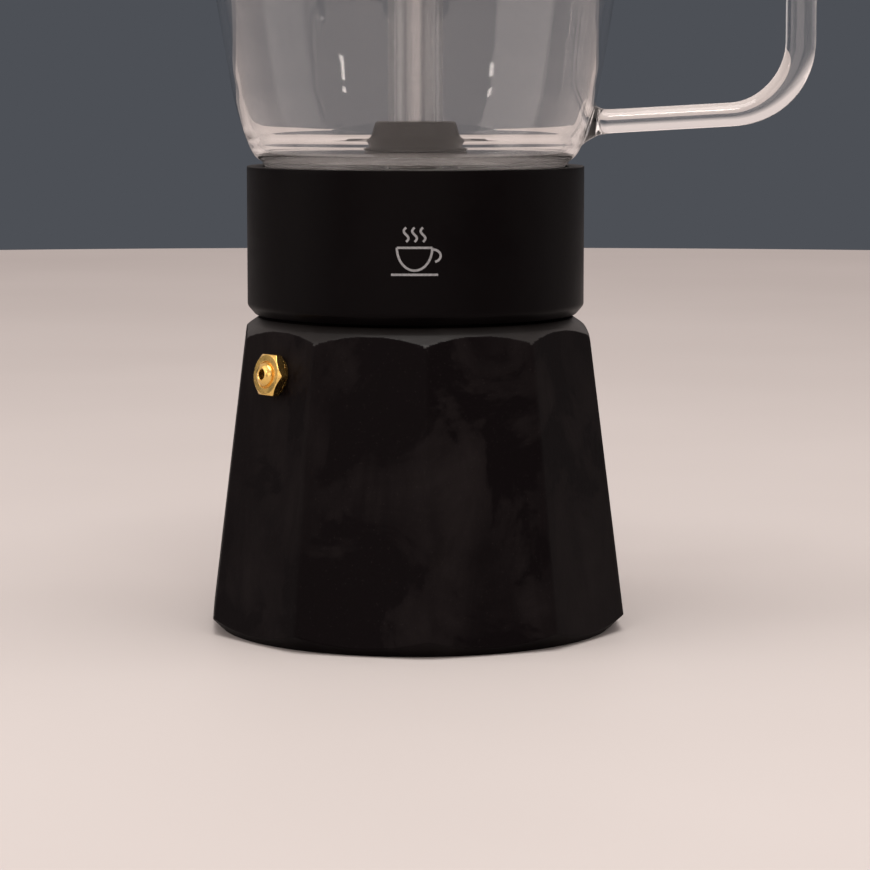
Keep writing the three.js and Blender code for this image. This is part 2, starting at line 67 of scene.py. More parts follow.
BOILER_HIGH = node_mm("boiler")[1]
COLLAR_LOW, COLLAR_HIGH = node_mm("collar")
HUB_LOW, HUB_HIGH = node_mm("hub_nut")
RISER_LOW, RISER_HIGH = node_mm("riser_tube")
CAP_LOW, CAP_HIGH = node_mm("riser_cap")
LID_LOW, LID_HIGH = node_mm("lid_cover")
KNOB_LOW, KNOB_HIGH = node_mm("lid_knob")
FUNNEL_LOW, FUNNEL_HIGH = node_mm("funnel_body")
JUG_LOW, JUG_HIGH = node_mm("glass_jug")
BOLT_LOW, BOLT_HIGH = node_mm("hollow_bolt")
JUG_FLOOR = node_mm("hub_washer")[0].z

# Boiler: ten facets that lean in, a turned shoulder and a threaded neck
SIDES = 10
CORNER_TURN = math.radians(3.4)
CORNER_RADIUS = 54.07
CORNER_DRAFT = 0.1293
CORNER_SOFTNESS = 0.5
FOOT_RADIUS = 49.2
FOOT_EDGE_HEIGHT = 4.6
SHOULDER = [(45.15, 71), (44.2, 73.85), (41.5, 76.2), (39.3, 77.7)]
SHOULDER_Z = SHOULDER[-1][1]
SHOULDER_MARGIN = 0.15
UNCUT = 1000
SCALLOP_SOFTNESS = 0.25
BOILER_FLOOR = 4
NECK_ROOT = 35.0
NECK_BORE = 32.6

# Thread between neck and collar
PITCH = 3.2
THREAD_TURNS = 2.0
THREAD_DEPTH = 0.9
RIDGE_HALF_WIDTH = 1.25
RIDGE_FLANK = 0.85
RIDGE_FADES = 8
MALE_START = 78.4
FEMALE_START = 79.9
COLLAR_ROOT = 37.3

# Valve, square to one facet
VALVE_AZIMUTH = math.radians(219.4)
VALVE_HEIGHT = 65.3
HEX_ACROSS_FLATS = 9.9
HEX_BACK = 1.1
HEX_FRONT = 3.4
HEX_CHAMFER = 6.1
HEX_CORNER_SOFTNESS = 0.15
HEX_EDGE_SOFTNESS = 0.08
HEX_INNER = 3.4
NOSE_LENGTH = 1.4
NOSE_RADIUS = 2.9
VENT_RADIUS = 1.2
SHANK_RADIUS = 3.9
SHANK_END = -8.0
SPRING_ROOM_RADIUS = 2.7
SPRING_STOP = 1.7
SPRING_START = -3.1
SPRING_RADIUS = 1.95
SPRING_WIRE = 0.25
SPRING_COILS = 4.5

# Seats and holes of the clamp that holds the jug on the collar
RECESS_RADIUS = 37.9
JUG_SEAT = 113.8
CLAMP_HOLE = 7.2
BOLT_RADIUS = 6.6
BOLT_THREAD_LENGTH = 16
BOLT_THREAD_PITCH = 1.5
BOLT_THREAD_DEPTH = 0.35

# Openings of the riser's cap, and holes of the sieves
OUTLET_SIZE = 5
OUTLET_RISE = 2.8
OUTLET_REACH = 30
SIEVE_EDGE = 0.05
SIEVE_HOLE_SIDES = 14
SIEVE_LAST_RING = 0.86

# Printed sign on the collar
MARK_RISE = -1.0
MARK_STROKE = 0.55
MARK_INK = 0.03
MARK_SUNK = 0.005

# Jug: outer wall as (radius, height), with a spout opposite the handle
GLASS_WALL = 2.2
LIP_RADIUS = 1.1
LIP_CENTRE = 53.2
JUG_OUTSIDE = [
    (37.5, 115.1), (38.0, 115.6), (38.1, 116.3), (38.7, 116.65), (39.9, 117.6), (41.0, 119.4),
    (41.8, 121.2), (43.3, 125.3), (45.0, 131.5), (46.1, 137.3), (47.3, 144), (49.1, 155.7),
    (51.2, 170), (53, 183), (54.3, 192.1),
]
INNER_HEEL = [(36.9, JUG_FLOOR + 0.2), (38.1, 118.95), (39.05, 120.4), (39.65, 121.9)]
INNER_HEEL_TOP = 124
GROUND_RADIUS = 37.4
GROUND_HEIGHT = 1.1
SPOUT_REACH = 7.0
SPOUT_START = 150.0
SPOUT_SPREAD = 0.55

# Handle: a bent glass rod in the plane y = 0
ARM_LOW = 125.85
ARM_HIGH = 180.5
ARM_RISE = 3.0
GRIP_X = 95.6
BEND = 18.0
ARM_RADIUS = 2.95
GRIP_RADIUS = 3.75
ROD_SIDES = 64
WELD_DEPTH = 1.1
WELD_SPREAD = 4.2
WELD_FADE = 1.5
WELD_LENGTH = 9
FLARE_HALF_WIDTH = 10
FLARE_HALF_HEIGHT = 11
FLARE_LOW, FLARE_HIGH = -0.4, 2.5
FLARE_ROOT = 3.2

# Fineness: points round the axis, and where the boiler's facets need only one row in eight
SEGMENTS = 240
BOILER_SEGMENTS = 400
FACET_ROWS = 8
FACETS_FROM, FACETS_TO = 9, 69

# Camera and stage (metres and radians)
CAMERA_ASIDE = 0.00484
CAMERA_DISTANCE = 0.800
CAMERA_HEIGHT = 0.13935
CAMERA_PITCH = math.radians(6.54)
CAMERA_LENS = 132.46
FLOOR_RADIUS = 1.7
LIGHT_AIM = 0.11


# ---- Mesh helpers ----

def turned_rows(outline, segments=SEGMENTS, radius=None):
    """Rows of points, one row round the axis for each (r, z) of the outline, in millimetres."""
    outline = np.asarray(outline, float)
    angle = np.arange(segments) * 2 * math.pi / segments
    r = np.repeat(outline[:, :1], segments, axis=1)
    z = np.repeat(outline[:, 1:2], segments, axis=1)
    if radius is not None:
        r = radius(angle[None, :], r, z)
    return np.stack([r * np.cos(angle), r * np.sin(angle), z], axis=2)


def skin(name, rows, material, closed=True):
    """Object whose surface runs through the rows; the last row joins the first when closed."""
    rows = np.asarray(rows, float)
    count, around = rows.shape[:2]
    index = np.arange(count * around).reshape(count, around)
    if closed:
        index = np.vstack([index, index[:1]])
    here, above = index[:-1], index[1:]
    beside, above_beside = np.roll(here, -1, axis=1), np.roll(above, -1, axis=1)
    faces = np.stack([here, beside, above_beside, above], axis=2).reshape(-1, 4)
    mesh = bpy.data.meshes.new(name)
    mesh.from_pydata((rows.reshape(-1, 3) * MM).tolist(), [], faces.tolist())
    edit = bmesh.new()
    edit.from_mesh(mesh)
    bmesh.ops.remove_doubles(edit, verts=edit.verts, dist=1e-7)
    bmesh.ops.recalc_face_normals(edit, faces=edit.faces)
    for face in edit.faces:
        face.smooth = True
    edit.to_mesh(mesh)
    edit.free()
    return linked(name, mesh, material)


def outline(corners, step=0.6, loop=True, arc_points=7):
    """Line through (r, z) corners; a third number rounds a corner off with that radius."""
    points = []
    count = len(corners)
    for i, corner in enumerate(corners):
        here = np.array(corner[:2], float)
        if len(corner) < 3:
            points.append(here)
            continue
        fillet = corner[2]
        back = np.array(corners[i - 1][:2], float) - here
        ahead = np.array(corners[(i + 1) % count][:2], float) - here
        back /= np.linalg.norm(back)
        ahead /= np.linalg.norm(ahead)
        half = math.acos(np.clip(back @ ahead, -1, 1)) / 2
        middle = (back + ahead) / np.linalg.norm(back + ahead)
        centre = here + middle * fillet / math.sin(half)
        start = here + back * fillet / math.tan(half) - centre
        end = here + ahead * fillet / math.tan(half) - centre
        begin = math.atan2(start[1], start[0])
        sweep = (math.atan2(end[1], end[0]) - begin + math.pi) % (2 * math.pi) - math.pi
        for share in np.linspace(0, 1, arc_points):
            angle = begin + sweep * share
            points.append(centre + fillet * np.array([math.cos(angle), math.sin(angle)]))
    return finer(points, step, loop)


def finer(points, step, loop=True):
    """Adds points so that no stretch of the line is longer than step."""
    points = [np.asarray(p, float) for p in points]
    ends = points[1:] + points[:1] if loop else points[1:]
    made = []
    for a, b in zip(points, ends):
        parts = max(1, math.ceil(np.linalg.norm(b - a) / step))
        made += [a + (b - a) * k / parts for k in range(parts)]
    return np.array(made if loop else made + [points[-1]])


def smooth_line(points, step):
    """Catmull-Rom curve through the points, sampled about every step."""
    p = np.asarray(points, float)
    p = np.vstack([2 * p[0] - p[1], p, 2 * p[-1] - p[-2]])
    made = []
    for i in range(1, len(p) - 2):
        parts = max(2, math.ceil(np.linalg.norm(p[i + 1] - p[i]) / step))
        for t in np.arange(parts) / parts:
            made.append(0.5 * (
                2 * p[i]
                + (p[i + 1] - p[i - 1]) * t
                + (2 * p[i - 1] - 5 * p[i] + 4 * p[i + 1] - p[i + 2]) * t ** 2
                + (3 * p[i] - p[i - 1] - 3 * p[i + 1] + p[i + 2]) * t ** 3
            ))
    return np.array(made + [p[-2]])


def eased(share):
    """Goes from 0 to 1 with a soft start and end."""
    share = np.clip(share, 0, 1)
    return share * share * (3 - 2 * share)


def soft_min(a, b, softness):
    """Smaller of a and b, blended where they differ by less than softness."""
    share = np.clip(0.5 + 0.5 * (b - a) / softness, 0, 1)
    return b + (a - b) * share - softness * share * (1 - share) * 0.5


def polygon_radius(angle, inner, sides, turn, softness):
    """Radius of a regular polygon with softened corners; turn is the angle of one corner."""
    pitch = 2 * math.pi / sides
    aside = (angle - turn + pitch / 2) % pitch - pitch / 2
    nearest = inner / np.cos(pitch / 2 - np.abs(aside))
    other = inner / np.cos(pitch / 2 + np.abs(aside))
    return soft_min(nearest, other, softness)


def thread_height(angle, z, start):
    """How far a helical ridge of depth 1 stands up at each place, fading in and out at its ends."""
    turns = (z - start) / PITCH - (angle % (2 * math.pi)) / (2 * math.pi)
    nearest = np.round(turns)
    along = nearest + (angle % (2 * math.pi)) / (2 * math.pi)
    aside = np.abs(turns - nearest) * PITCH
    fade = np.clip(np.minimum(along, THREAD_TURNS - along) * RIDGE_FADES, 0, 1)
    return eased((RIDGE_HALF_WIDTH - aside) / RIDGE_FLANK) * fade


def second_finish(made, main, other, where):
    """Gives the faces whose middle satisfies where(x, y, z) in millimetres another finish."""
    mesh = made.data
    mesh.materials.clear()
    mesh.materials.append(main)
    mesh.materials.append(other)
    for face in mesh.polygons:
        face.material_index = int(where(*(face.center / MM)))


def linked(name, shape, material=None):
    """New object in the scene with that mesh or curve."""
    made = bpy.data.objects.new(name, shape)
    bpy.context.scene.collection.objects.link(made)
    if material is not None:
        shape.materials.append(material)
    return made


def piece(made, body, slot, *nodes):
    """The piece rides on its body and stands for its frame nodes; slot is not used."""
    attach(made, body)
    if nodes:
        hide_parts(*nodes)
    return made


# ---- Materials ----

def node_tree(name):
    """New material with its nodes and its shader."""
    material = bpy.data.materials.new(name)
    material.use_nodes = True
    tree = material.node_tree
    return material, tree, tree.nodes["Principled BSDF"]


def place(tree):
    """Coordinates fixed to the piece, so its pattern moves with it."""
    return tree.nodes.new("ShaderNodeTexCoord").outputs["Object"]


def noise(tree, vector, scale, detail, roughness, distortion=0.0):
    """Cloudy pattern between 0 and 1."""
    made = tree.nodes.new("ShaderNodeTexNoise")
    made.inputs["Scale"].default_value = scale
    made.inputs["Detail"].default_value = detail
    made.inputs["Roughness"].default_value = roughness
    made.inputs["Distortion"].default_value = distortion
    tree.links.new(vector, made.inputs["Vector"])
    return made.outputs["Fac"]


def stretched(tree, vector, scale):
    """The same coordinates, scaled apart along each axis."""
    made = tree.nodes.new("ShaderNodeMapping")
    made.inputs["Scale"].default_value = scale
    tree.links.new(vector, made.inputs["Vector"])
    return made.outputs["Vector"]


def ramp(tree, value, stops):
    """Colour ramp; stops are (place, grey or colour)."""
    made = tree.nodes.new("ShaderNodeValToRGB")
    elements = made.color_ramp.elements
    while len(elements) < len(stops):
        elements.new(0.5)
    for element, (where, colour) in zip(elements, stops):
        element.position = where
        element.color = (*colour, 1) if isinstance(colour, tuple) else (colour,) * 3 + (1,)
    tree.links.new(value, made.inputs["Fac"])
    return made.outputs["Color"]


def maths(tree, operation, a, b):
    """Sum or product of two values, each a number or a node's output."""
    made = tree.nodes.new("ShaderNodeMath")
    made.operation = operation
    for socket, value in zip(made.inputs, (a, b)):
        if isinstance(value, (int, float)):
            socket.default_value = value
        else:
            tree.links.new(value, socket)
    return made.outputs["Value"]


def mixed(tree, share, a, b):
    """Colour that goes from a to b as share goes from 0 to 1."""
    made = tree.nodes.new("ShaderNodeMix")
    made.data_type = "RGBA"
    tree.links.new(share, made.inputs["Factor"])
    made.inputs[6].default_value = (*a, 1)
    made.inputs[7].default_value = (*b, 1)
    return made.outputs[2]


def bump(tree, shader, height, distance, strength, under=None):
    """Relief on the shader, on top of the relief under it."""
    made = tree.nodes.new("ShaderNodeBump")
    made.inputs["Distance"].default_value = distance
    made.inputs["Strength"].default_value = strength
    tree.links.new(height, made.inputs["Height"])
    if under is not None:
        tree.links.new(under, made.inputs["Normal"])
    tree.links.new(made.outputs["Normal"], shader.inputs["Normal"])
    return made.outputs["Normal"]


def coated_metal(name, colour, worn_colour, wear, roughness, grain, specular):
    """Baked-on black coating over cast aluminium, with dull greyish patches and a fine grain."""
    material, tree, shader = node_tree(name)
    where = place(tree)
    patches = noise(tree, where, 38, 7, 0.62, 0.6)
    streaks = noise(tree, stretched(tree, where, (60, 60, 14)), 1, 5, 0.6, 0.8)
    specks = noise(tree, where, 900, 3, 0.6)
    patchy = ramp(tree, patches, [(0.445, 0.0), (0.49, 0.45), (0.68, 1.0)])
    streaky = ramp(tree, streaks, [(0.38, 0.25), (0.62, 1.0)])
    dull = maths(tree, "MULTIPLY", patchy, streaky)
    dust = ramp(tree, noise(tree, where, 1900, 2, 0.5), [(0.66, 0.0), (0.74, 0.9)])
    dull = maths(tree, "ADD", dull, dust)
    dull = maths(tree, "MULTIPLY", dull, wear)
    tree.links.new(mixed(tree, dull, colour, worn_colour), shader.inputs["Base Color"])
    rougher = maths(tree, "MULTIPLY", dull, 0.16)
    cloudy = ramp(tree, patches, [(0.3, roughness - 0.04), (0.7, roughness + 0.05)])
    tree.links.new(maths(tree, "ADD", rougher, cloudy), shader.inputs["Roughness"])
    shader.inputs["Specular IOR Level"].default_value = specular
    fine = bump(tree, shader, specks, 0.00004, grain)
    bump(tree, shader, patches, 0.0004, 0.25, fine)
    return material


def machined_metal(name, colour, dark_colour, roughness, ring_scale, tarnish):
    """Bare turned metal: fine rings round the axis, stains and small changes of gloss."""
    material, tree, shader = node_tree(name)
    where = place(tree)
    stains = noise(tree, where, 240, 5, 0.6, 0.3)
    fine = noise(tree, stretched(tree, where, ring_scale), 1, 3, 0.6)
    stained = maths(tree, "MULTIPLY", ramp(tree, stains, [(0.42, 0.0), (0.72, 1.0)]), tarnish)
    tree.links.new(mixed(tree, stained, colour, dark_colour), shader.inputs["Base Color"])
    cloudy = ramp(tree, stains, [(0.3, roughness), (0.75, roughness + 0.16)])
    tree.links.new(cloudy, shader.inputs["Roughness"])
    shader.inputs["Metallic"].default_value = 1.0
    bump(tree, shader, fine, 0.00003, 0.5)
    return material


def moulded(name, colour, light_colour, roughness, grain_scale, grain, specular):
    """Moulded plastic or rubber with a soft sheen and a fine grain."""
    material, tree, shader = node_tree(name)
    where = place(tree)
    cloud = noise(tree, where, 90, 4, 0.6)
    grains = noise(tree, where, grain_scale, 3, 0.6)
    lighter = ramp(tree, cloud, [(0.35, 0.0), (0.75, 1.0)])
    tree.links.new(mixed(tree, lighter, colour, light_colour), shader.inputs["Base Color"])
    cloudy = ramp(tree, cloud, [(0.3, roughness - 0.04), (0.7, roughness + 0.08)])
    tree.links.new(cloudy, shader.inputs["Roughness"])
    shader.inputs["Specular IOR Level"].default_value = specular
    bump(tree, shader, grains, 0.00005, grain)
    return material


def clear_glass(name, mist_and_painted_light, frost):
    """Blown glass with waves and faint water marks; frost makes it rough. The mist share whitens it: partly
    mist on the glass, partly painted light standing in for the room's brightness seen in the glass.
    """
    material, tree, shader = node_tree(name)
    where = place(tree)
    waves = noise(tree, where, 16, 2, 0.45, 0.4)
    marks = noise(tree, stretched(tree, where, (150, 150, 60)), 1, 6, 0.65, 0.7)
    tree.links.new(ramp(tree, marks, [(0.60, frost), (0.82, frost + 0.10)]), shader.inputs["Roughness"])
    shader.inputs["Base Color"].default_value = (1.0, 0.986, 0.979, 1)
    shader.inputs["Transmission Weight"].default_value = 1 - mist_and_painted_light
    shader.inputs["IOR"].default_value = 1.473
    bump(tree, shader, waves, 0.0012, 0.22)
    return material


def printed_ink(name):
    """Pale grey ink, slightly worn."""
    material, tree, shader = node_tree(name)
    worn = noise(tree, place(tree), 1500, 4, 0.6)
    greys = ramp(tree, worn, [(0.3, (0.16, 0.16, 0.165)), (0.7, (0.27, 0.27, 0.28))])
    tree.links.new(greys, shader.inputs["Base Color"])
    shader.inputs["Roughness"].default_value = 0.5
    return material


BLACK_CAST = coated_metal(
    "black_cast", (0.0023, 0.0013, 0.0016), (0.0118, 0.0094, 0.0095),
    wear=0.8, roughness=0.55, grain=0.9, specular=0.04,
)
BLACK_SATIN = coated_metal(
    "black_satin", (0.0016, 0.0009, 0.0011), (0.0042, 0.0034, 0.0034),
    wear=0.25, roughness=0.40, grain=0.35, specular=0.045,
)
# Coating of turned surfaces: glossier, with a base colour lighter than black_cast that is a painted sheen
# of the overhead light
BLACK_TURNED_PAINTED_SHEEN = coated_metal(
    "black_turned_painted_sheen", (0.0062, 0.0050, 0.0048), (0.0120, 0.0100, 0.0096),
    wear=0.5, roughness=0.44, grain=0.6, specular=0.27,
)
BRASS = machined_metal(
    "brass", (0.86, 0.56, 0.17), (0.46, 0.25, 0.07),
    roughness=0.17, ring_scale=(900, 900, 900), tarnish=0.45,
)
STEEL = machined_metal(
    "steel", (0.62, 0.61, 0.60), (0.36, 0.34, 0.33),
    roughness=0.24, ring_scale=(600, 600, 2400), tarnish=0.4,
)
ALUMINIUM = machined_metal(
    "aluminium", (0.74, 0.74, 0.73), (0.42, 0.40, 0.38),
    roughness=0.34, ring_scale=(500, 500, 2600), tarnish=0.5,
)
SILICONE = moulded(
    "silicone", (0.66, 0.63, 0.57), (0.74, 0.71, 0.66),
    roughness=0.55, grain_scale=1400, grain=0.3, specular=0.5,
)
BLACK_PLASTIC = moulded(
    "black_plastic", (0.0050, 0.0032, 0.0028), (0.0095, 0.0066, 0.0058),
    roughness=0.32, grain_scale=1500, grain=0.35, specular=0.22,
)
HUB_PLASTIC = moulded(
    "hub_plastic", (0.0040, 0.0024, 0.0020), (0.0080, 0.0052, 0.0044),
    roughness=0.36, grain_scale=1500, grain=0.3, specular=0.04,
)
# The mist share of these glasses is partly painted light, a whitening for the room's brightness seen in the
# glass
GLASS_CLEAR = clear_glass("clear_glass", mist_and_painted_light=0.003, frost=0.0)
GLASS_TUBE = clear_glass("tube_glass", mist_and_painted_light=0.06, frost=0.0)
# Ground underside: frosted, and its strong whitening is painted light standing in for light that passes
# through the glass foot and reflects in it
GLASS_GROUND_AND_PAINTED_LIGHT = clear_glass("ground_glass_painted_light", mist_and_painted_light=0.8, frost=0.22)
INK = printed_ink("collar_ink")


# ---- Boiler ----

def facets(angle, r, z):
    """Radius of the ten leaning facets, cut off by the turned line (r, z) at the foot and shoulder."""
    inner = (CORNER_RADIUS - CORNER_DRAFT * z) * math.cos(math.pi / SIDES)
    sides = polygon_radius(angle, inner, SIDES, CORNER_TURN - math.pi / 2, CORNER_SOFTNESS)
    return soft_min(sides, r, SCALLOP_SOFTNESS)


def boiler():
    """Facets, turned shoulder and threaded neck outside; one smooth hollow inside."""
    under = [(0, 0), (16, 0), (32, 0), (44, 0), (47, 0)]
    outside = outline([
        (FOOT_RADIUS - 1.2, 0), (FOOT_RADIUS - 0.2, 0, 0.6), (CORNER_RADIUS - 0.2, FOOT_EDGE_HEIGHT, 1.5),
        (CORNER_RADIUS, 8), (*SHOULDER[0], 2), (*SHOULDER[1], 2), (*SHOULDER[2], 4), SHOULDER[3],
    ], 0.25, False)
    outside = [
        point for i, point in enumerate(outside)
        if i % FACET_ROWS == 0 or not FACETS_FROM < point[1] < FACETS_TO
    ]
    neck = finer([(NECK_ROOT, SHOULDER_Z), (NECK_ROOT, BOILER_HIGH.z - 0.5)], 0.3, False)
    inside = outline([
        (NECK_ROOT - 0.5, BOILER_HIGH.z), (NECK_BORE, BOILER_HIGH.z, 0.5), (NECK_BORE, SHOULDER_Z, 1.5),
        (37.4, 71, 3), (47.2, 5.6, 2), (44.6, BOILER_FLOOR, 1), (0, BOILER_FLOOR),
    ], 6, False)

    def threaded(angle, r, z):
        """Neck with the ridge standing out."""
        return r + THREAD_DEPTH * thread_height(angle, z, MALE_START)

    rows = [
        turned_rows(under, BOILER_SEGMENTS),
        turned_rows(outside, BOILER_SEGMENTS, facets),
        turned_rows(neck, BOILER_SEGMENTS, threaded),
        turned_rows(inside, BOILER_SEGMENTS),
    ]
    made = skin("boiler_shell", np.concatenate(rows), BLACK_CAST, closed=False)

    def on_turned_shoulder(x, y, z):
        """True where the turned line lies well inside the facets."""
        if not SHOULDER[0][1] - 1 < z < SHOULDER_Z or math.hypot(x, y) < SHOULDER[-1][0] - 0.3:
            return False
        turned = np.interp(z, [p[1] for p in SHOULDER], [p[0] for p in SHOULDER])
        return turned + SHOULDER_MARGIN < facets(math.atan2(y, x), UNCUT, z)

    # The turned shoulder band takes the lighter coating; its lighter colour is a painted sheen on the top
    # of the boiler
    second_finish(made, BLACK_CAST, BLACK_TURNED_PAINTED_SHEEN, on_turned_shoulder)
    return piece(made, "boiler", "black_aluminium", "boiler")


# ---- Valve ----

def valve_matrix():
    """Frame of the valve: +Z leaves the facet, +Y climbs it and +X runs level along it."""
    draft = CORNER_DRAFT * math.cos(math.pi / SIDES)
    reach = CORNER_RADIUS * math.cos(math.pi / SIDES) - draft * VALVE_HEIGHT
    across, along = math.cos(VALVE_AZIMUTH), math.sin(VALVE_AZIMUTH)
    out = Vector((across, along, draft)).normalized()
    level = Vector((-along, across, 0))
    climb = out.cross(level)
    turn = Matrix((level, climb, out)).transposed().to_4x4()
    return Matrix.Translation(Vector((reach * across, reach * along, VALVE_HEIGHT)) * MM) @ turn


def valve_body():
    """Hexagon with a turned chamfer in front, a domed nose with a vent and a hollow shank behind."""
    def hexagon(angle, r, z):
        """Cuts six flats in front of the washer; the shank and the vent stay round."""
        flats = polygon_radius(angle, HEX_ACROSS_FLATS / 2, 6, 0, HEX_CORNER_SOFTNESS)
        cut = (z > HEX_BACK - 0.01) & (r > HEX_INNER)
        return np.where(cut, soft_min(flats, r, HEX_EDGE_SOFTNESS), r)

    tip = HEX_FRONT + NOSE_LENGTH
    dome_angles = np.radians([0, 15, 30, 43, 54])
    dome = [(NOSE_RADIUS * math.cos(a), tip - 1.25 + 1.45 * math.sin(a)) for a in dome_angles]
    head = outline([
        (SHANK_RADIUS, HEX_BACK - 0.5), (SHANK_RADIUS, HEX_BACK), (5.5, HEX_BACK),
        (HEX_CHAMFER, HEX_BACK + 0.2), (HEX_CHAMFER, HEX_FRONT - 0.95), (4.8, HEX_FRONT - 0.04, 0.2),
        (3.35, HEX_FRONT - 0.03, 0.1), (3.1, HEX_FRONT - 0.3, 0.1), (NOSE_RADIUS, HEX_FRONT - 0.3, 0.05),
        *dome, (1.45, tip, 0.15), (VENT_RADIUS + 0.05, tip - 0.25, 0.2),
        (VENT_RADIUS - 0.05, HEX_FRONT - 0.5), (SPRING_ROOM_RADIUS, HEX_FRONT - 1.4),
        (SPRING_ROOM_RADIUS, SHANK_END), (3.5, SHANK_END), (SHANK_RADIUS, SHANK_END + 0.6),
    ], 0.16)
    made = skin("valve_hexagon", turned_rows(head, 180, hexagon), BRASS)
    made.data.transform(valve_matrix())
    return piece(made, "boiler", "brass", "valve_body")


# ---- Collar ----

def collar():
    """Straight sleeve with a recess for the jug, a web with a clamp hole and a female thread."""
    top, foot, radius = COLLAR_HIGH.z, COLLAR_LOW.z, COLLAR_HIGH.x
    sleeve = outline([
        (COLLAR_ROOT + 0.6, foot), (radius - 1.9, foot, 0.6), (radius, foot + 2.2, 1.6), (radius, top, 0.3),
        (RECESS_RADIUS, top, 0.25), (RECESS_RADIUS, JUG_SEAT), (31, JUG_SEAT, 0.5), (31, 100, 2),
        (30, 98.6, 1), (11.5, 101, 2), (11.5, JUG_SEAT), (CLAMP_HOLE, JUG_SEAT), (CLAMP_HOLE, 97),
        (13, 97), (33.4, 92.3), (35.4, 92.3), (35.4, 86.8), (COLLAR_ROOT, 86.2),
    ], 0.9, False)
    bore = finer([(COLLAR_ROOT, 86.1), (COLLAR_ROOT, foot + 0.6)], 0.22, False)

    def threaded(angle, r, z):
        """Bore with the ridge standing in."""
        return r - THREAD_DEPTH * thread_height(angle, z, FEMALE_START)

    rows = [turned_rows(sleeve), turned_rows(bore, radius=threaded)]
    made = skin("collar_sleeve", np.concatenate(rows), BLACK_SATIN)
    return piece(made, "top", "black_collar", "collar")


def collar_mark():
    """Generic printed sign on the front of the collar: a steaming cup drawn in thin strokes."""
    def arc(x, z, radius_x, radius_z, begin, end, steps=28):
        """Part of an ellipse between two angles in degrees."""
        angles = np.radians(np.linspace(begin, end, steps))
        return [(x + radius_x * math.cos(a), z + radius_z * math.sin(a)) for a in angles]

    def steam(x):
        """One wavy line of steam."""
        return [(x + 0.55 * math.sin(t * 2 * math.pi), 2.6 + 3.4 * t) for t in np.linspace(0, 1, 24)]

    middle = (COLLAR_LOW.z + COLLAR_HIGH.z) / 2 + MARK_RISE
    strokes = [
        [(-4.2, 1.2), (4.2, 1.2)],
        arc(0, 1.2, 4.2, 5.4, 180, 360, 44),
        arc(4.3, -0.7, 1.9, 1.5, -72, 96),
        [(-5.6, -5.2), (5.6, -5.2)],
        steam(-2), steam(0), steam(2),
    ]
    edit = bmesh.new()
    for stroke in strokes:
        line = finer([np.array(p) for p in stroke], 0.4, False)
        along = np.gradient(line, axis=0)
        along /= np.linalg.norm(along, axis=1)[:, None]
        aside = np.stack([-along[:, 1], along[:, 0]], axis=1) * MARK_STROKE / 2
        loops = []
        for side, height in ((1, 0), (1, MARK_INK), (-1, MARK_INK), (-1, 0)):
            flat = line + side * aside
            radius = COLLAR_HIGH.x + height - MARK_SUNK
            angle = flat[:, 0] / COLLAR_HIGH.x - math.pi / 2
            places = np.stack([radius * np.cos(angle), radius * np.sin(angle), middle + flat[:, 1]], axis=1)
            loops.append([edit.verts.new(p * MM) for p in places])
        for here, beside in zip(loops, loops[1:] + loops[:1]):
            for i in range(len(line) - 1):
                edit.faces.new((here[i], here[i + 1], beside[i + 1], beside[i]))
        edit.faces.new([loop[0] for loop in loops])
        edit.faces.new([loop[-1] for loop in reversed(loops)])
    bmesh.ops.recalc_face_normals(edit, faces=edit.faces)
    mesh = bpy.data.meshes.new("collar_sign")
    edit.to_mesh(mesh)
    edit.free()
    return piece(linked("collar_sign", mesh, INK), "top", "black_collar")


# ---- Glass ----

def lean_into_spout(rows):
    """Moves the wall outwards towards -X, more and more towards the rim."""
    aside = np.abs(np.arctan2(rows[..., 1], -rows[..., 0])) / SPOUT_SPREAD
    rise = np.clip((rows[..., 2] - SPOUT_START) / (JUG_HIGH.z - SPOUT_START), 0, 1)
    lean = SPOUT_REACH * rise ** 2 * 0.5 * (1 + np.cos(math.pi * np.clip(aside, 0, 1)))
    rows[..., 0] -= lean
    return rows


def jug_wall(z):
    """Outer radius of the jug at height z."""
    heights = [p[1] for p in JUG_OUTSIDE]
    return np.interp(z, heights, [p[0] for p in JUG_OUTSIDE])


def jug_blank():
    """The jug without its handle: wall, rolled lip, and a floor with a hole for the clamp."""
    foot, rim = JUG_LOW.z, JUG_HIGH.z
    outside = smooth_line(JUG_OUTSIDE, 0.8)
    lip_angles = np.linspace(0.2, math.pi - 0.2, 9)
    lip = [
        (LIP_CENTRE + LIP_RADIUS * math.cos(a), rim - LIP_RADIUS + LIP_RADIUS * math.sin(a))
        for a in lip_angles
    ]
    inner_wall = [(r - GLASS_WALL, z) for r, z in JUG_OUTSIDE if z > INNER_HEEL_TOP]
    inside = smooth_line([(34.6, JUG_FLOOR + 0.02)] + INNER_HEEL + inner_wall, 0.8)[::-1]
    floor = finer([
        (33, JUG_FLOOR), (CLAMP_HOLE + 0.5, JUG_FLOOR), (CLAMP_HOLE, JUG_FLOOR - 0.5),
        (CLAMP_HOLE, foot + 1.4), (CLAMP_HOLE + 0.4, foot + 1), (28.6, foot + 1), (29.9, foot + 0.6),
        (31, foot + 0.1), (31.6, foot), (36.8, foot), (37.3, foot + 0.15),
    ], 1.6, False)
    rows = turned_rows(np.concatenate([outside, lip, inside, floor]))
    return skin("glass_vessel", lean_into_spout(rows), GLASS_CLEAR)


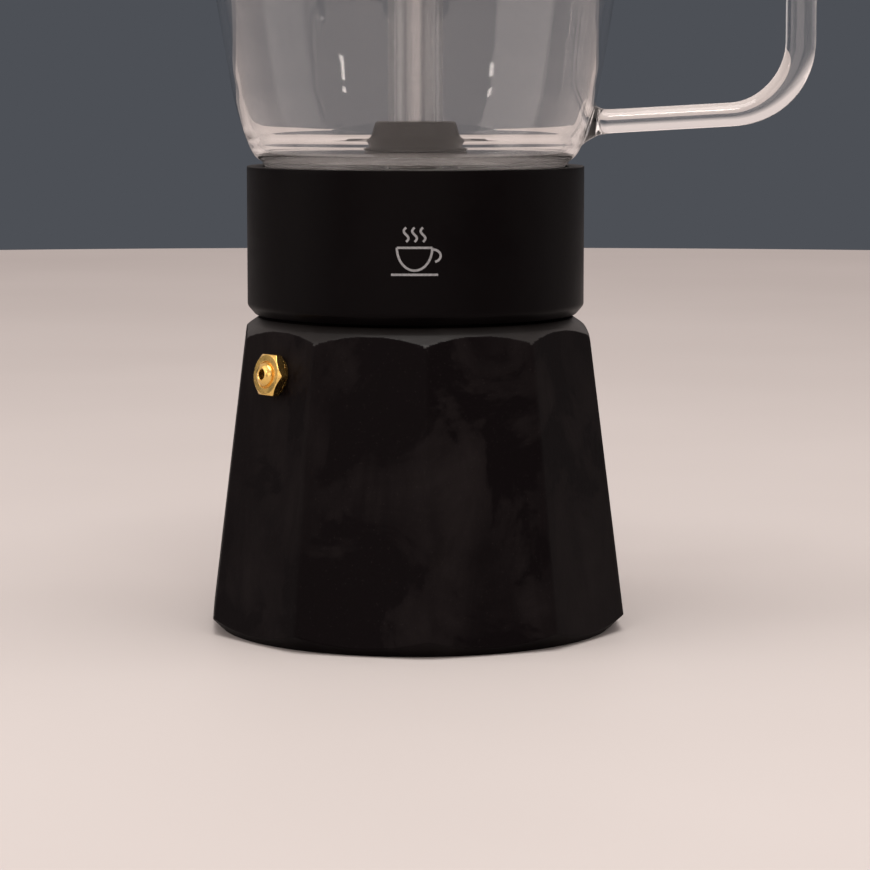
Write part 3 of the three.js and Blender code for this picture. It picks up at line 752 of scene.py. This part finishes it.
def handle_rod():
    """Bent rod whose two ends spread out on the jug's wall, as a glass-blower's weld does."""
    line = outline([
        (jug_wall(ARM_LOW) - WELD_DEPTH, ARM_LOW), (GRIP_X, ARM_LOW + ARM_RISE, BEND),
        (GRIP_X, ARM_HIGH + ARM_RISE, BEND), (jug_wall(ARM_HIGH) - WELD_DEPTH, ARM_HIGH),
    ], 0.9, False, 18)
    near_ends = np.linspace(0, 1, 10)[1:-1]
    line = np.concatenate([
        line[:1], line[:1] + (line[1] - line[0]) * near_ends[:, None], line[1:-1],
        line[-2:-1] + (line[-1] - line[-2]) * near_ends[:, None], line[-1:],
    ])
    along = np.gradient(line, axis=0)
    along /= np.linalg.norm(along, axis=1)[:, None]
    length = np.concatenate([[0], np.cumsum(np.linalg.norm(np.diff(line, axis=0), axis=1))])
    from_end = np.minimum(length, length[-1] - length)
    grip = (line[:, 0] - (GRIP_X - BEND)) / BEND
    radius = ARM_RADIUS + (GRIP_RADIUS - ARM_RADIUS) * eased(grip)
    radius = radius + WELD_SPREAD * np.exp(-from_end / WELD_FADE)
    around = np.arange(ROD_SIDES) * 2 * math.pi / ROD_SIDES
    across = np.stack([-along[:, 1], along[:, 0]], axis=1)
    x = line[:, :1] + radius[:, None] * across[:, :1] * np.cos(around)
    z = line[:, 1:] + radius[:, None] * across[:, 1:] * np.cos(around)
    y = radius[:, None] * np.sin(around)
    follows_wall = np.clip(1 - from_end[:, None] / WELD_LENGTH, 0, 1)
    wall_here = np.sqrt(np.maximum(jug_wall(z) ** 2 - y ** 2, 1))
    x = x + (wall_here - jug_wall(line[:, 1])[:, None]) * follows_wall ** 1.5
    rows = np.stack([x, y, z], axis=2)
    ends = [np.broadcast_to(row.mean(axis=0), row.shape)[None] for row in (rows[0], rows[-1])]
    return skin("glass_rod", np.concatenate([ends[0], rows, ends[1]]), GLASS_CLEAR, closed=False)


def settle(made, tool, operation="UNION"):
    """Joins the tool to the object, or cuts it, and keeps the result as the object's own mesh."""
    cut = made.modifiers.new("cut", "BOOLEAN")
    cut.operation = operation
    cut.solver = "EXACT"
    cut.object = tool
    graph = bpy.context.evaluated_depsgraph_get()
    mesh = bpy.data.meshes.new_from_object(made.evaluated_get(graph))
    made.modifiers.clear()
    made.data = mesh
    bpy.data.objects.remove(tool)
    for face in mesh.polygons:
        face.use_smooth = True
    return made


def soften(made, near, rounds):
    """Smooths the mesh where near(x, y, z), in millimetres, is true."""
    edit = bmesh.new()
    edit.from_mesh(made.data)
    chosen = [v for v in edit.verts if near(*(v.co / MM))]
    for _ in range(rounds):
        bmesh.ops.smooth_vert(
            edit, verts=chosen, factor=0.5, use_axis_x=True, use_axis_y=True, use_axis_z=True,
        )
    edit.to_mesh(made.data)
    edit.free()


def jug_and_handle():
    """One fused piece of glass, soft at its welds and ground on its underside; the underside's strong
    whitening is painted light.
    """
    made = settle(jug_blank(), handle_rod())
    made.name = "glass_jug_and_handle"

    def on_a_weld(x, y, z):
        """True on the flare round an arm's root, near the outer wall."""
        rise = min(z - ARM_LOW, z - ARM_HIGH, key=abs)
        if x < 0 or abs(y) > FLARE_HALF_WIDTH or abs(rise) > FLARE_HALF_HEIGHT:
            return False
        beyond = math.hypot(x, y) - float(jug_wall(z))
        return FLARE_LOW < beyond < FLARE_HIGH and math.hypot(y, rise) > FLARE_ROOT

    def on_the_underside(x, y, z):
        """True on the ring that the jug stands on."""
        return z < JUG_LOW.z + GROUND_HEIGHT and math.hypot(x, y) < GROUND_RADIUS

    soften(made, on_a_weld, 6)
    # The ground ring's white is partly painted light, for light coming through the glass foot
    second_finish(made, GLASS_CLEAR, GLASS_GROUND_AND_PAINTED_LIGHT, on_the_underside)
    return piece(made, "top", "glass", "glass_jug", "glass_handle")


def riser_tube():
    """Open glass tube that stands in the hub."""
    tube = outline([
        (5, RISER_LOW.z, 0.5), (RISER_HIGH.x, RISER_LOW.z, 0.5), (RISER_HIGH.x, RISER_HIGH.z, 0.8),
        (5, RISER_HIGH.z, 0.8),
    ], 2.5)
    made = skin("riser_glass", turned_rows(tube, 120), GLASS_TUBE)
    return piece(made, "top", "glass", "riser_tube")


# ---- Clamp and outlets inside the jug ----

def hub():
    """Hub that flares out over the jug's floor."""
    foot, top = HUB_LOW.z, HUB_HIGH.z
    line = outline([
        (CLAMP_HOLE, foot), (13, foot, 0.2), (12.95, foot + 0.7, 0.4), (11.1, foot + 2.2, 2.4),
        (10.3, top - 1.2, 2), (9.9, top, 0.7), (CLAMP_HOLE + 0.05, top, 0.4),
    ], 0.5)
    return piece(skin("hub", turned_rows(line, 180), HUB_PLASTIC), "top", "black_plastic", "hub_nut")


def riser_cap():
    """Domed cap with four outlets in its side."""
    foot, top = CAP_LOW.z, CAP_HIGH.z
    line = outline([
        (0, top), (5.5, top - 0.4, 4), (8.6, top - 2.8, 2.5), (8.6, foot, 0.5), (CLAMP_HOLE, foot, 0.4),
        (CLAMP_HOLE, top - 4.5, 1), (5, top - 2.2, 1), (0, top - 2.2),
    ], 0.7, False)
    made = skin("riser_outlet_cap", turned_rows(line, 144), BLACK_PLASTIC, closed=False)
    size = Vector((OUTLET_REACH, OUTLET_SIZE, OUTLET_SIZE)) * MM
    middle = Vector((0, 0, RISER_HIGH.z + OUTLET_RISE)) * MM
    for turn in (0, math.pi / 2):
        opening = bpy.data.meshes.new("opening")
        edit = bmesh.new()
        bmesh.ops.create_cube(edit, size=1)
        bmesh.ops.scale(edit, vec=size, verts=edit.verts)
        bmesh.ops.translate(edit, vec=middle, verts=edit.verts)
        bmesh.ops.rotate(edit, cent=Vector(), matrix=Matrix.Rotation(turn, 3, "Z"), verts=edit.verts)
        edit.to_mesh(opening)
        edit.free()
        settle(made, linked("opening", opening), "DIFFERENCE")
    return piece(made, "top", "black_plastic", "riser_cap")


def hollow_bolt():
    """Bolt with a wide head and a fine thread; the coffee rises through its bore."""
    foot, top = BOLT_LOW.z, BOLT_HIGH.z
    line = outline([
        (4, foot, 0.3), (11.2, foot, 0.6), (12, foot + 0.9, 0.3), (12, foot + 2, 0.3),
        (BOLT_RADIUS, foot + 2, 0.2), (BOLT_RADIUS, top, 0.4), (4, top, 0.3),
    ], 0.35)

    def grooved(angle, r, z):
        """Cuts the thread into the upper end of the shank."""
        wave = 0.5 + 0.5 * np.cos(2 * math.pi * z / BOLT_THREAD_PITCH - angle)
        threaded = (z > top - BOLT_THREAD_LENGTH) & (np.abs(r - BOLT_RADIUS) < 0.4)
        return np.where(threaded, r - BOLT_THREAD_DEPTH * wave, r)

    made = skin("clamp_bolt", turned_rows(line, 96, grooved), STEEL)
    return piece(made, "top", "steel", "hollow_bolt")


# ---- Rings with a plain section ----

def plain_rings():
    """Washers, seals and bushes: outer radius and heights come from the frame."""
    rings = [
        # node, inner radius, fillet, body, slot, material
        ("gasket", 28.5, 0.5, "seal", "silicone", SILICONE),
        ("bolt_washer", CLAMP_HOLE, 0.15, "top", "silicone", SILICONE),
        ("jug_seat_washer", 9.0, 0.3, "top", "silicone", SILICONE),
        ("hub_washer", CLAMP_HOLE, 0.25, "top", "black_plastic", HUB_PLASTIC),
        ("tube_seal", 4.3, 0.3, "top", "silicone", SILICONE),
        ("lid_seal", 49.8, 0.6, "lid", "silicone", SILICONE),
        ("knob_insert", 2.1, 0.2, "lid", "brass", BRASS),
    ]
    for node, inner, fillet, body, slot, material in rings:
        low, high = node_mm(node)
        line = outline([
            (inner, low.z, fillet), (high.x, low.z, fillet),
            (high.x, high.z, fillet), (inner, high.z, fillet),
        ], 1.2)
        piece(skin(node + "_ring", turned_rows(line, 160), material), body, slot, node)


# ---- Basket and sieves ----

def funnel():
    """Basket with a flange, a ledge for its sieve and a long stem."""
    foot, top = FUNNEL_LOW.z, FUNNEL_HIGH.z
    line = outline([
        (3.5, foot, 0.2), (4.5, foot, 0.3), (4.5, 47, 3), (30.5, 60.5, 1.5), (32, 62, 0.8),
        (32, top - 0.9, 0.3), (34.5, top - 0.9, 0.4), (34.5, top, 0.4), (31, top, 0.8), (31, 64, 0.3),
        (29, 64, 0.6), (28, 61, 1.2), (3.5, 48, 2.5),
    ], 2)
    made = skin("funnel_shell", turned_rows(line), ALUMINIUM)
    return piece(made, "funnel", "aluminium", "funnel_body")


def sieve(name, node, body, rings, hole):
    """Flat plate with rings of punched holes."""
    low, high = node_mm(node)
    curve = bpy.data.curves.new(name, "CURVE")
    curve.dimensions = "2D"
    curve.fill_mode = "BOTH"
    curve.extrude = (high.z - low.z - 2 * SIEVE_EDGE) / 2 * MM
    curve.bevel_depth = SIEVE_EDGE * MM
    curve.bevel_resolution = 0

    def circle(x, y, radius, sides):
        """One closed line of the curve: the plate's edge or a hole."""
        spline = curve.splines.new("POLY")
        spline.points.add(sides - 1)
        spline.use_cyclic_u = True
        for k, point in enumerate(spline.points):
            angle = 2 * math.pi * k / sides
            point.co = ((x + radius * math.cos(angle)) * MM, (y + radius * math.sin(angle)) * MM, 0, 1)

    circle(0, 0, high.x - SIEVE_EDGE, 160)
    circle(0, 0, hole, SIEVE_HOLE_SIDES)
    for ring in range(1, rings + 1):
        distance = high.x * SIEVE_LAST_RING * ring / rings
        for k in range(6 * ring):
            angle = 2 * math.pi * (k + 0.5 * (ring % 2)) / (6 * ring)
            circle(distance * math.cos(angle), distance * math.sin(angle), hole, SIEVE_HOLE_SIDES)
    flat = linked(name + "_outline", curve)
    graph = bpy.context.evaluated_depsgraph_get()
    mesh = bpy.data.meshes.new_from_object(flat.evaluated_get(graph))
    bpy.data.objects.remove(flat)
    mesh.transform(Matrix.Translation((0, 0, (low.z + high.z) / 2 * MM)))
    mesh.materials.clear()
    return piece(linked(name, mesh, ALUMINIUM), body, "aluminium", node)


# ---- Lid ----

def lid():
    """Crowned plate with a skirt that drops into the jug's mouth, and its turned knob."""
    rest = LID_LOW.z + 6.2
    edge, crown = LID_HIGH.x, LID_HIGH.z
    cover = outline([
        (2.3, 196.6), (9, 196.6, 2), (47.6, 194.2, 1.2), (47.6, LID_LOW.z, 0.3), (49.8, LID_LOW.z, 0.4),
        (49.8, rest, 0.6), (edge, rest, 0.5), (edge, rest + 1.4, 0.6), (edge - 1.2, rest + 2.2, 1.2),
        (30, 197.4, 30), (11, crown - 0.4, 3), (9, crown, 0.8), (2.3, crown),
    ], 1.2)
    # The lid plate shares that coating and its painted sheen
    piece(skin("lid_plate", turned_rows(cover), BLACK_TURNED_PAINTED_SHEEN), "lid", "black_collar", "lid_cover")
    foot, top, radius = KNOB_LOW.z, KNOB_HIGH.z, KNOB_HIGH.x
    knob = outline([
        (0, top), (5, top, 8), (9.6, top - 1.4, 3), (radius, top - 4, 2.2), (10.3, top - 6.4, 2.5),
        (7.1, top - 9.5, 3.5), (7, foot + 2.2, 2), (8.4, foot, 0.4), (3.5, foot, 0.2),
        (3.5, foot + 8.5), (0, foot + 8.5),
    ], 0.8, False)
    made = skin("lid_grip", turned_rows(knob, 144), BLACK_PLASTIC, closed=False)
    piece(made, "lid", "black_plastic", "lid_knob")


# ---- Valve's spring ----

def valve_spring():
    """Coil between the ball and the hexagon's stop."""
    steps = np.linspace(0, 1, 220)
    angle = steps * SPRING_COILS * 2 * math.pi
    centre = np.stack([
        SPRING_RADIUS * np.cos(angle), SPRING_RADIUS * np.sin(angle),
        SPRING_START + (SPRING_STOP - SPRING_START) * steps,
    ], axis=1)
    out = np.stack([np.cos(angle), np.sin(angle), 0 * angle], axis=1)
    up = np.array([0, 0, 1.0])
    around = np.arange(12) * 2 * math.pi / 12
    ring = out[:, None, :] * np.cos(around)[None, :, None] + up * np.sin(around)[None, :, None]
    rows = centre[:, None, :] + SPRING_WIRE * ring
    ends = [np.broadcast_to(c, rows[0].shape)[None] for c in (centre[0], centre[-1])]
    made = skin("valve_coil", np.concatenate([ends[0], rows, ends[1]]), STEEL, closed=False)
    made.data.transform(valve_matrix())
    piece(made, "boiler", "steel", "valve_spring")
    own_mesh(made)


def frame_finishes():
    """The small frame nodes that stay as they are get their finish."""
    kept = {
        "valve_washer": BRASS, "valve_seat": BRASS, "valve_ball": STEEL, "lid_screw": STEEL,
    }
    for node, material in kept.items():
        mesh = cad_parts[node].data
        mesh.materials.clear()
        mesh.materials.append(material)


# ---- Floor, light and camera ----

def stage():
    """Round pale floor."""
    mesh = bpy.data.meshes.new("floor")
    around = [2 * math.pi * k / SEGMENTS for k in range(SEGMENTS)]
    edge = [(FLOOR_RADIUS * math.cos(a), FLOOR_RADIUS * math.sin(a), 0) for a in around]
    mesh.from_pydata(edge, [], [range(SEGMENTS)])
    material, tree, shader = node_tree("floor")
    cloud = noise(tree, place(tree), 3, 3, 0.5)
    pale = ramp(tree, cloud, [(0.3, (0.52, 0.485, 0.47)), (0.7, (0.56, 0.525, 0.51))])
    tree.links.new(pale, shader.inputs["Base Color"])
    shader.inputs["Roughness"].default_value = 0.6
    floor = linked("floor", mesh, material)


def softbox(name, place_m, size, power, colour):
    """Rectangular lamp aimed at the middle of the pot."""
    light = bpy.data.lights.new(name, "AREA")
    light.shape = "RECTANGLE"
    light.size, light.size_y = size
    light.energy = power
    light.color = colour
    made = bpy.data.objects.new(name, light)
    made.location = place_m
    aim = Vector((0, 0, LIGHT_AIM)) - Vector(place_m)
    made.rotation_euler = aim.to_track_quat("-Z", "Y").to_euler()
    made.visible_camera = False
    bpy.context.scene.collection.objects.link(made)


def lights():
    """Soft lamps, two small ones that sparkle in the glass, and a surround that is paler higher up."""
    softbox("top", (0.05, -0.4, 1.5), (1.3, 0.9), 13, (1.0, 0.97, 0.94))
    softbox("left", (-1.15, -0.25, 0.55), (1.0, 1.3), 4.6, (1.0, 0.93, 0.89))
    softbox("right", (1.2, 0.15, 0.5), (0.8, 1.2), 1.4, (1.0, 0.96, 0.93))
    softbox("front", (-0.3, -1.9, 0.42), (2.2, 0.7), 8, (1.0, 0.86, 0.80))
    softbox("key", (0.1, -1.0, 1.35), (0.35, 0.25), 5, (1.0, 0.94, 0.88))
    softbox("lamp_left", (-1.05, -0.75, 0.62), (0.04, 0.08), 0.3, (1.0, 0.95, 0.9))
    softbox("lamp_right", (1.05, -0.8, 0.6), (0.04, 0.05), 0.25, (1.0, 0.95, 0.9))
    world = bpy.data.worlds.new("studio")
    world.use_nodes = True
    tree = world.node_tree
    height = tree.nodes.new("ShaderNodeSeparateXYZ")
    tree.links.new(tree.nodes.new("ShaderNodeTexCoord").outputs["Generated"], height.inputs["Vector"])
    sky = ramp(tree, height.outputs["Z"], [(0.08, (0.0742, 0.0802, 0.0931)), (0.30, (0.72, 0.63, 0.60))])
    tree.links.new(sky, tree.nodes["Background"].inputs["Color"])
    bpy.context.scene.world = world


def camera():
    """Camera in front of the pot, level sideways and pitched down a little."""
    data = bpy.data.cameras.new("camera")
    data.sensor_width = 36
    data.lens = CAMERA_LENS
    data.clip_start, data.clip_end = 0.05, 60
    made = bpy.data.objects.new("camera", data)
    made.location = (CAMERA_ASIDE, -CAMERA_DISTANCE, CAMERA_HEIGHT)
    made.rotation_euler = (math.pi / 2 - CAMERA_PITCH, 0, 0)
    bpy.context.scene.collection.objects.link(made)
    bpy.context.scene.camera = made


camera()
stage()
lights()
boiler()
valve_body()
valve_spring()
collar()
collar_mark()
jug_and_handle()
riser_tube()
hub()
riser_cap()
hollow_bolt()
plain_rings()
funnel()
sieve("basket_sieve", "funnel_plate", "funnel", 8, 0.9)
sieve("filter_sieve", "filter_plate", "filter", 9, 0.8)
lid()
frame_finishes()

bpy.context.scene.view_settings.view_transform = "Standard"
